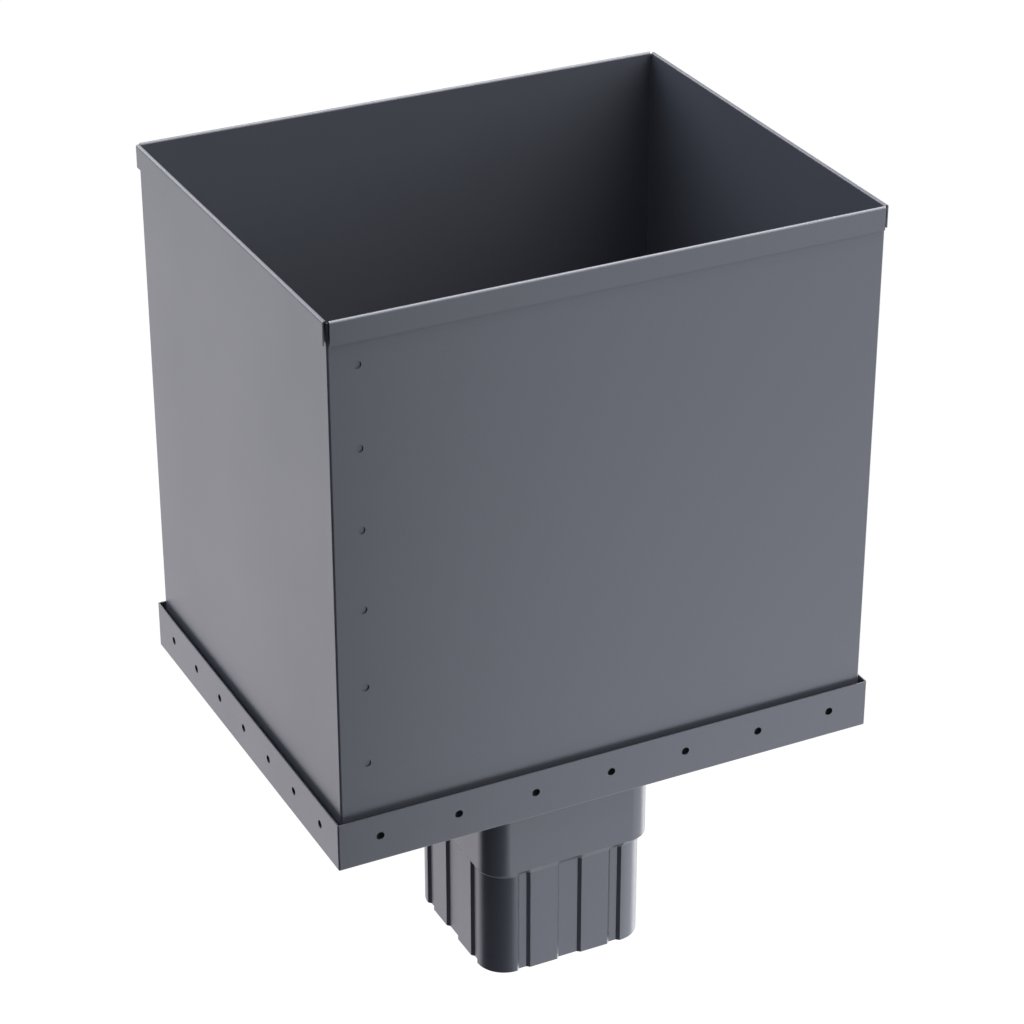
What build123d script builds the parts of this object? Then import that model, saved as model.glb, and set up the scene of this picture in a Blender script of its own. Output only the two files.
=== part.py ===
from build123d import *
from math import atan2, tan
import os

os.makedirs("parts", exist_ok=True)

# The origin is the centre of the outlet's open end, +Z is up and -Y faces the house wall.

# Sheet metal
sheet = 0.65

# Hopper body
body_width = 301.0
body_depth = 240.5
body_height = 300.0
body_bend = 1.0
hem_stand = 1.65
rim_hem_height = 12.5
foot_hem_height = 10.0
front_hem_end_gap = 1.1
side_hem_end_gap = 0.7

# Lap seam of the body, on the house side
tab_width = 30.0
tab_end_gap = 3.0
tab_chamfer = 6.0
seam_hole_d = 4.2
seam_hole_count = 6
seam_hole_inset = 15.0
seam_hole_rise = 56.5
seam_hole_drop = 25.2

# Base tray
tray_clearance = 1.0
tray_edge_height = 27.0
tray_bend = 0.8
tray_hole_d = 4.4
tray_hole_count = 7
tray_hole_rise = 14.6
tray_hole_inset = 23.0

# Outlet spout
outlet_shift = 30.5
outlet_drop = 131.5
spigot_width = 95.8
spigot_radius = 16.0
spigot_height = 62.0
taper_height = 4.0
collar_step = 2.1
collar_radius = 13.0
flange_width = 14.0
flange_radius = 8.0
neck_bend = 0.6
outlet_clearance = 0.8

# Grooves pressed in each side of the spigot, which leave two ribs standing
centre_groove = 11.0
side_groove = 4.2
corner_land = 0.4
groove_run = 1.8
groove_depth = 1.5

# Sizes that follow
fold_radius = (hem_stand + sheet) / 2
tray_grow = hem_stand + tray_clearance + sheet
tray_width = body_width + 2 * tray_grow
tray_depth = body_depth + 2 * tray_grow
tray_floor = outlet_drop + sheet
body_top = tray_floor + body_height
body_front = outlet_shift - body_depth / 2
collar_width = spigot_width + 2 * collar_step
collar_start = spigot_height + taper_height
flange_size = collar_width + 2 * flange_width
groove_angle = atan2(groove_depth, groove_run)
spigot_flat = spigot_width - 2 * spigot_radius
groove_widths = centre_groove + 2 * side_groove + 6 * groove_run
rib_width = (spigot_flat - groove_widths) / 2 - corner_land


def folded_edges(wall_half):
    """Both folded edges of a wall and of the wall across from it, seen from their end."""
    inner_face = wall_half - sheet
    leaf_face = wall_half + hem_stand
    middle = (inner_face + leaf_face) / 2
    with BuildSketch() as edges:
        for tip, way, leaf in (
            (body_height, 1, rim_hem_height),
            (0, -1, foot_hem_height),
        ):
            root = tip - way * fold_radius
            with BuildLine():
                ThreePointArc((inner_face, root), (middle, tip), (leaf_face, root))
                Polyline(
                    (leaf_face, root),
                    (leaf_face, tip - way * leaf),
                    (leaf_face - sheet, tip - way * leaf),
                    (leaf_face - sheet, root),
                )
                ThreePointArc(
                    (leaf_face - sheet, root),
                    (middle, tip - way * sheet),
                    (wall_half, root),
                )
                Line((wall_half, root), (inner_face, root))
            make_face()
        mirror(about=Plane.YZ)
    return edges.sketch


def pipe_section(level, width, radius, depth, inset):
    """A square pipe's outline with three grooves a side, or plain sides where the depth is 0."""
    half = width / 2 - inset
    corner = half - (radius - inset)
    spread = inset * tan(groove_angle / 2)
    centre = centre_groove / 2 + spread
    rib_start = centre + groove_run
    rib_end = rib_start + rib_width - 2 * spread
    side_start = rib_end + groove_run
    side_end = side_start + side_groove + 2 * spread
    right_half = [
        (centre, depth),
        (rib_start, 0),
        (rib_end, 0),
        (side_start, depth),
        (side_end, depth),
        (side_end + groove_run, 0),
        (corner, 0),
    ]
    side = [(-x, y) for x, y in reversed(right_half)] + right_half
    with BuildSketch(Plane.XY.offset(level)) as section:
        with BuildLine():
            for turn in (0, 90, 180, 270):
                Polyline(*[Vector(x, y - half).rotate(Axis.Z, turn) for x, y in side])
                arc_centre = Vector(corner, -corner).rotate(Axis.Z, turn)
                CenterArc(arc_centre, radius - inset, turn - 90, 90)
        make_face()
    return section.sketch


# Body: one folded sheet, lapped at one corner
with BuildPart() as body_wrap:
    with BuildSketch(Plane.XY.offset(tray_floor + fold_radius)):
        with Locations((0, outlet_shift)):
            RectangleRounded(body_width, body_depth, body_bend)
            RectangleRounded(
                body_width - 2 * sheet,
                body_depth - 2 * sheet,
                body_bend - sheet,
                mode=Mode.SUBTRACT,
            )
    extrude(amount=body_height - 2 * fold_radius)

    with BuildSketch(Plane((0, outlet_shift, tray_floor), x_dir=(0, 1, 0), z_dir=(1, 0, 0))):
        add(folded_edges(body_depth / 2))
    extrude(amount=body_width / 2 - front_hem_end_gap, both=True)
    with BuildSketch(Plane((0, outlet_shift, tray_floor), x_dir=(1, 0, 0), z_dir=(0, -1, 0))):
        add(folded_edges(body_width / 2))
    extrude(amount=body_depth / 2 - side_hem_end_gap, both=True)

    # Lap tab behind the house-side wall
    tab_height = body_height - 2 * (fold_radius + tab_end_gap)
    with BuildSketch(Plane.XZ.offset(-body_front - sheet)):
        with Locations(((tab_width - body_width + sheet) / 2, tray_floor + body_height / 2)):
            Rectangle(tab_width - sheet, tab_height)
        chamfer(vertices().group_by(Axis.X)[-1], length=tab_chamfer)
    extrude(amount=-sheet)

    # Rivet holes of the lap, in the outer sheet
    seam_hole_run = body_height - seam_hole_rise - seam_hole_drop
    seam_hole_middle = tray_floor + seam_hole_rise + seam_hole_run / 2
    with BuildSketch(Plane.XZ.offset(-body_front)):
        with Locations((seam_hole_inset - body_width / 2, seam_hole_middle)):
            with GridLocations(0, seam_hole_run / (seam_hole_count - 1), 1, seam_hole_count):
                Circle(seam_hole_d / 2)
    extrude(amount=-sheet, mode=Mode.SUBTRACT)

# Base tray: one folded pan
with BuildPart() as base_tray:
    with BuildSketch(Plane.XY.offset(outlet_drop)):
        with Locations((0, outlet_shift)):
            RectangleRounded(tray_width, tray_depth, tray_bend)
    extrude(amount=tray_edge_height)
    fillet(faces().sort_by(Axis.Z)[0].edges(), radius=tray_bend)
    with BuildSketch(Plane.XY.offset(tray_floor)):
        with Locations((0, outlet_shift)):
            Rectangle(tray_width - 2 * sheet, tray_depth - 2 * sheet)
    extrude(amount=tray_edge_height, mode=Mode.SUBTRACT)

    # Rivet holes along the upright edges
    hole_level = outlet_drop + tray_hole_rise
    width_pitch = (tray_width - 2 * tray_hole_inset) / (tray_hole_count - 1)
    depth_pitch = (tray_depth - 2 * tray_hole_inset) / (tray_hole_count - 1)
    with BuildSketch(Plane((0, outlet_shift, hole_level), x_dir=(1, 0, 0), z_dir=(0, -1, 0))):
        with GridLocations(width_pitch, 0, tray_hole_count, 1):
            Circle(tray_hole_d / 2)
    extrude(amount=tray_depth, both=True, mode=Mode.SUBTRACT)
    with BuildSketch(Plane((0, outlet_shift, hole_level), x_dir=(0, 1, 0), z_dir=(1, 0, 0))):
        with GridLocations(depth_pitch, 0, tray_hole_count, 1):
            Circle(tray_hole_d / 2)
    extrude(amount=tray_width, both=True, mode=Mode.SUBTRACT)

    # Outlet hole, clear of the spout's bent neck
    outlet_hole = collar_width + 2 * outlet_clearance
    with BuildSketch(Plane.XY.offset(outlet_drop)):
        RectangleRounded(outlet_hole, outlet_hole, collar_radius + outlet_clearance)
    extrude(amount=sheet, mode=Mode.SUBTRACT)

# Outlet spout: flange, smooth collar, taper and ribbed spigot in one pressing
with BuildPart() as outlet_spout:
    for inset, mode in ((0, Mode.ADD), (sheet, Mode.SUBTRACT)):
        spigot_end = pipe_section(0, spigot_width, spigot_radius, groove_depth, inset)
        extrude(spigot_end, amount=spigot_height, mode=mode)
        taper_low = pipe_section(
            spigot_height, spigot_width, spigot_radius, groove_depth, inset
        )
        taper_high = pipe_section(collar_start, collar_width, collar_radius, 0, inset)
        loft([taper_low, taper_high], ruled=True, mode=mode)
        with BuildSketch(Plane.XY.offset(collar_start)):
            RectangleRounded(
                collar_width - 2 * inset, collar_width - 2 * inset, collar_radius - inset
            )
        extrude(amount=tray_floor + sheet - collar_start, mode=mode)
        if mode == Mode.ADD:
            with BuildSketch(Plane.XY.offset(tray_floor)):
                RectangleRounded(flange_size, flange_size, flange_radius)
            extrude(amount=sheet)

    # Bend between the collar and the flange, the same thickness all the way round
    flange_top = faces().sort_by(Axis.Z)[-1]
    fillet(flange_top.inner_wires()[0].edges(), radius=neck_bend + sheet)
    flange_underside = faces().filter_by(Axis.Z).group_by(Axis.Z)[-2][0]
    fillet(flange_underside.inner_wires()[0].edges(), radius=neck_bend)

body_wrap.part.label = "body_wrap"
base_tray.part.label = "base_tray"
outlet_spout.part.label = "outlet_spout"
export_step(body_wrap.part, "parts/body_wrap.step")
export_step(base_tray.part, "parts/base_tray.step")
export_step(outlet_spout.part, "parts/outlet_spout.step")
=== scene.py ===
from math import cos, pi, radians, sin

import bpy
from mathutils import Matrix, Vector

# Camera, read from the photograph: metres and degrees in the part's own frame
CAMERA_PLACE = Vector((-0.66944, -1.31984, 1.05710))
CAMERA_YAW = 26.517
CAMERA_PITCH = 28.510
CAMERA_ROLL = 0.016
LENS = 113.34
SENSOR = 36.0

# Coated sheet: satin powder coat, with its scales per metre and its depth in metres
COAT_COLOUR = (0.132, 0.143, 0.174, 1.0)
COAT_METALLIC = 0.35
COAT_ROUGHNESS = 0.33
COAT_GLOSS_SPREAD = 0.02
CLOUD_SCALE = 14.0
CLOUD_DETAIL = 3.0
CLOUD_TONE = 0.015
SPECK_SCALE = 1800.0
SPECK_DETAIL = 1.0
SPECK_TONE = 0.02
PEEL_SCALE = 700.0
PEEL_DETAIL = 2.0
PEEL_DEPTH = 0.00004
PEEL_STRENGTH = 0.5
NOISE_LOW = 0.25
NOISE_HIGH = 0.75

# White floor far below the hopper: metres, and strengths where 1 is white
FLOOR_LEVEL = -2.0
FLOOR_HALF = 14.0
FLOOR_SHADE = (0.8, 0.8, 0.8, 1.0)
FLOOR_GLOW = 1.10
FLOOR_GLOW_SHARE = 0.9
WHITE = (1.0, 1.0, 1.0, 1.0)
WORLD_SEEN = 1.0
WORLD_FILL = 0.15

# Dark card, curved about the hopper's upright axis: metres and degrees
CARD_RADIUS = 0.9
CARD_FROM = 150.0
CARD_TO = 281.0
CARD_LOW = -1.2
CARD_HIGH = 0.55
CARD_STEPS = 24
CARD_GLOW = 0.062
CARD_TINT = (0.9, 0.95, 1.15, 1.0)

# Softboxes face the middle of the hopper, in these tints
MIDDLE = Vector((0.0, 0.03, 0.25))
PLAIN = (1.0, 1.0, 1.0)
COOL = (0.97, 0.98, 1.08)
ROSE = (1.1, 0.92, 1.04)
WARM = (1.2, 1.04, 0.78)
CREAM = (1.07, 1.0, 0.9)

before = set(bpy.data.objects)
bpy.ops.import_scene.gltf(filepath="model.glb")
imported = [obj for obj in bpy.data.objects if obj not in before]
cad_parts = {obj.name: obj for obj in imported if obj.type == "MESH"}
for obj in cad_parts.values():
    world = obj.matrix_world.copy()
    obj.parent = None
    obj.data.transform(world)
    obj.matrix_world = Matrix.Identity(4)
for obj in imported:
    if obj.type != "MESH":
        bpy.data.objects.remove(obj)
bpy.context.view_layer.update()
scene = bpy.context.scene
scene.view_settings.view_transform = "Standard"


def add_to_scene(name, data):
    piece = bpy.data.objects.new(name, data)
    scene.collection.objects.link(piece)
    return piece


def make_camera():
    yaw, pitch, roll = (radians(a) for a in (CAMERA_YAW, CAMERA_PITCH, CAMERA_ROLL))
    forward = Vector((sin(yaw) * cos(pitch), cos(yaw) * cos(pitch), -sin(pitch)))
    level = Vector((cos(yaw), -sin(yaw), 0.0))
    down = forward.cross(level)
    right = cos(roll) * level + sin(roll) * down
    up = sin(roll) * level - cos(roll) * down
    data = bpy.data.cameras.new("photo_camera")
    data.sensor_fit = "HORIZONTAL"
    data.sensor_width = SENSOR
    data.lens = LENS
    camera = add_to_scene("photo_camera", data)
    turn = Matrix((right, up, -forward)).transposed().to_4x4()
    camera.matrix_world = Matrix.Translation(CAMERA_PLACE) @ turn
    scene.camera = camera


def new_material(name):
    material = bpy.data.materials.new(name)
    material.use_nodes = True
    nodes = material.node_tree.nodes
    nodes.clear()
    return material, nodes, material.node_tree.links


def add_noise(nodes, links, place, scale, detail):
    noise = nodes.new("ShaderNodeTexNoise")
    noise.inputs["Scale"].default_value = scale
    noise.inputs["Detail"].default_value = detail
    links.new(place, noise.inputs["Vector"])
    return noise.outputs["Fac"]


def spread(nodes, links, value, low, high):
    """The noise value, whose middle half is stretched over the range from low to high."""
    stretch = nodes.new("ShaderNodeMapRange")
    stretch.inputs["From Min"].default_value = NOISE_LOW
    stretch.inputs["From Max"].default_value = NOISE_HIGH
    stretch.inputs["To Min"].default_value = low
    stretch.inputs["To Max"].default_value = high
    links.new(value, stretch.inputs["Value"])
    return stretch.outputs["Result"]


def powder_coat_group():
    """Powder coat: faint clouds of tone and gloss over a fine orange-peel skin."""
    group = bpy.data.node_groups.new("powder_coat", "ShaderNodeTree")
    face = group.interface
    face.new_socket("Colour", in_out="INPUT", socket_type="NodeSocketColor")
    face.new_socket("Roughness", in_out="INPUT", socket_type="NodeSocketFloat")
    face.new_socket("Gloss Spread", in_out="INPUT", socket_type="NodeSocketFloat")
    face.new_socket("Colour", in_out="OUTPUT", socket_type="NodeSocketColor")
    face.new_socket("Roughness", in_out="OUTPUT", socket_type="NodeSocketFloat")
    face.new_socket("Height", in_out="OUTPUT", socket_type="NodeSocketFloat")
    nodes, links = group.nodes, group.links
    given = nodes.new("NodeGroupInput")
    result = nodes.new("NodeGroupOutput")
    place = nodes.new("ShaderNodeTexCoord").outputs["Object"]

    clouds = add_noise(nodes, links, place, CLOUD_SCALE, CLOUD_DETAIL)
    specks = add_noise(nodes, links, place, SPECK_SCALE, SPECK_DETAIL)
    tone = nodes.new("ShaderNodeMath")
    tone.operation = "MULTIPLY"
    links.new(spread(nodes, links, clouds, 1 - CLOUD_TONE, 1 + CLOUD_TONE), tone.inputs[0])
    links.new(spread(nodes, links, specks, 1 - SPECK_TONE, 1 + SPECK_TONE), tone.inputs[1])
    tint = nodes.new("ShaderNodeVectorMath")
    tint.operation = "SCALE"
    links.new(given.outputs["Colour"], tint.inputs[0])
    links.new(tone.outputs["Value"], tint.inputs["Scale"])
    links.new(tint.outputs["Vector"], result.inputs["Colour"])

    gloss = nodes.new("ShaderNodeMath")
    gloss.operation = "MULTIPLY_ADD"
    links.new(spread(nodes, links, clouds, -1.0, 1.0), gloss.inputs[0])
    links.new(given.outputs["Gloss Spread"], gloss.inputs[1])
    links.new(given.outputs["Roughness"], gloss.inputs[2])
    links.new(gloss.outputs["Value"], result.inputs["Roughness"])

    peel = add_noise(nodes, links, place, PEEL_SCALE, PEEL_DETAIL)
    links.new(peel, result.inputs["Height"])
    return group


def coated_sheet():
    material, nodes, links = new_material("coated_sheet")
    output = nodes.new("ShaderNodeOutputMaterial")
    paint = nodes.new("ShaderNodeBsdfPrincipled")
    paint.inputs["Metallic"].default_value = COAT_METALLIC
    coat = nodes.new("ShaderNodeGroup")
    coat.node_tree = powder_coat_group()
    coat.inputs["Colour"].default_value = COAT_COLOUR
    coat.inputs["Roughness"].default_value = COAT_ROUGHNESS
    coat.inputs["Gloss Spread"].default_value = COAT_GLOSS_SPREAD
    links.new(coat.outputs["Colour"], paint.inputs["Base Color"])
    links.new(coat.outputs["Roughness"], paint.inputs["Roughness"])
    skin = nodes.new("ShaderNodeBump")
    skin.inputs["Strength"].default_value = PEEL_STRENGTH
    skin.inputs["Distance"].default_value = PEEL_DEPTH
    links.new(coat.outputs["Height"], skin.inputs["Height"])
    links.new(skin.outputs["Normal"], paint.inputs["Normal"])
    links.new(paint.outputs["BSDF"], output.inputs["Surface"])
    return material


def seen_rays(nodes, links):
    """1 for the rays that show a thing to the camera, straight or in gloss or glass."""
    path = nodes.new("ShaderNodeLightPath")
    seen = path.outputs["Is Camera Ray"]
    for kind in ("Is Glossy Ray", "Is Transmission Ray"):
        larger = nodes.new("ShaderNodeMath")
        larger.operation = "MAXIMUM"
        links.new(seen, larger.inputs[0])
        links.new(path.outputs[kind], larger.inputs[1])
        seen = larger.outputs["Value"]
    return seen


def stage_piece(name, points, faces, material):
    mesh = bpy.data.meshes.new(name)
    mesh.from_pydata(points, [], faces)
    mesh.materials.append(material)
    piece = add_to_scene(name, mesh)
    return piece


def make_floor():
    """White to the eye and in gloss, and matt to the lamps, so that it keeps a faint shadow."""
    material, nodes, links = new_material("floor_white")
    output = nodes.new("ShaderNodeOutputMaterial")
    pale = nodes.new("ShaderNodeBsdfDiffuse")
    pale.inputs["Color"].default_value = FLOOR_SHADE
    glow = nodes.new("ShaderNodeEmission")
    glow.inputs["Strength"].default_value = FLOOR_GLOW
    share = nodes.new("ShaderNodeMath")
    share.operation = "MULTIPLY"
    share.inputs[1].default_value = FLOOR_GLOW_SHARE
    links.new(seen_rays(nodes, links), share.inputs[0])
    mix = nodes.new("ShaderNodeMixShader")
    links.new(share.outputs["Value"], mix.inputs["Fac"])
    links.new(pale.outputs["BSDF"], mix.inputs[1])
    links.new(glow.outputs["Emission"], mix.inputs[2])
    links.new(mix.outputs["Shader"], output.inputs["Surface"])
    w, z = FLOOR_HALF, FLOOR_LEVEL
    corners = [(-w, -w, z), (w, -w, z), (w, w, z), (-w, w, z)]
    stage_piece("floor", corners, [(0, 1, 2, 3)], material)


def make_dark_card():
    """A curved dark card on the camera's side, which darkens the corners as in the photograph."""
    material, nodes, links = new_material("card_dark")
    output = nodes.new("ShaderNodeOutputMaterial")
    dark = nodes.new("ShaderNodeEmission")
    dark.inputs["Color"].default_value = CARD_TINT
    dark.inputs["Strength"].default_value = CARD_GLOW
    links.new(dark.outputs["Emission"], output.inputs["Surface"])
    points, faces = [], []
    for i in range(CARD_STEPS + 1):
        turn = radians(CARD_FROM + (CARD_TO - CARD_FROM) * i / CARD_STEPS)
        x, y = CARD_RADIUS * cos(turn), CARD_RADIUS * sin(turn)
        points += [(x, y, CARD_LOW), (x, y, CARD_HIGH)]
        if i:
            n = 2 * i
            faces.append((n - 2, n, n + 1, n - 1))
    card = stage_piece("dark_card", points, faces, material)
    card.visible_camera = False


def make_world():
    """White to the eye and in gloss, and a faint even light on matt paint."""
    world = bpy.data.worlds.new("studio")
    world.use_nodes = True
    nodes, links = world.node_tree.nodes, world.node_tree.links
    background = nodes["Background"]
    background.inputs["Color"].default_value = WHITE
    level = nodes.new("ShaderNodeMapRange")
    level.inputs["To Min"].default_value = WORLD_FILL
    level.inputs["To Max"].default_value = WORLD_SEEN
    links.new(seen_rays(nodes, links), level.inputs["Value"])
    links.new(level.outputs["Result"], background.inputs["Strength"])
    scene.world = world


def softbox(name, turn, rise, away, size, glow, tint=PLAIN):
    """An even area lamp that faces the middle: degrees round and up, metres, and its glow."""
    width, height = size
    data = bpy.data.lights.new(name, "AREA")
    data.color = tint
    data.shape = "RECTANGLE"
    data.size = width
    data.size_y = height
    data.energy = glow * pi * width * height
    lamp = add_to_scene(name, data)
    turn, rise = radians(turn), radians(rise)
    outward = Vector((cos(turn) * cos(rise), sin(turn) * cos(rise), sin(rise)))
    aim = (-outward).to_track_quat("-Z", "Y").to_matrix().to_4x4()
    lamp.matrix_world = Matrix.Translation(MIDDLE + away * outward) @ aim
    lamp.visible_camera = False


def make_high_lamps():
    softbox("top_softbox", turn=20, rise=62, away=2.4, size=(2.4, 2.0), glow=5.1, tint=CREAM)
    softbox("right_softbox", turn=316, rise=30, away=2.3, size=(2.6, 1.6), glow=2.1)
    softbox("steep_softbox", turn=325, rise=66, away=2.2, size=(1.6, 1.2), glow=1.0)
    softbox("left_softbox", turn=140, rise=34, away=2.3, size=(2.6, 1.8), glow=2.2, tint=COOL)
    softbox("back_softbox", turn=95, rise=22, away=2.3, size=(1.4, 1.0), glow=2.1, tint=WARM)


def make_low_lamps():
    """Soft light from under the hopper, as a white table would throw back."""
    softbox("low_right_softbox", turn=328, rise=-32, away=2.0, size=(1.9, 1.4), glow=0.62)
    softbox("low_front_softbox", turn=310, rise=-38, away=1.5, size=(1.0, 0.7), glow=0.29)
    softbox("deep_front_softbox", turn=296, rise=-62, away=1.1, size=(1.0, 0.7), glow=0.33, tint=COOL)
    softbox("edge_softbox", turn=12, rise=-20, away=2.0, size=(1.0, 2.0), glow=2.25)
    softbox("low_left_softbox", turn=117, rise=-34, away=2.0, size=(1.6, 1.4), glow=0.35, tint=ROSE)
    softbox("under_softbox", turn=350, rise=-65, away=1.6, size=(0.9, 0.9), glow=0.33)


make_camera()
sheet = coated_sheet()
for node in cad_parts.values():
    node.data.materials.clear()
    node.data.materials.append(sheet)
make_floor()
make_dark_card()
make_world()
make_high_lamps()
make_low_lamps()
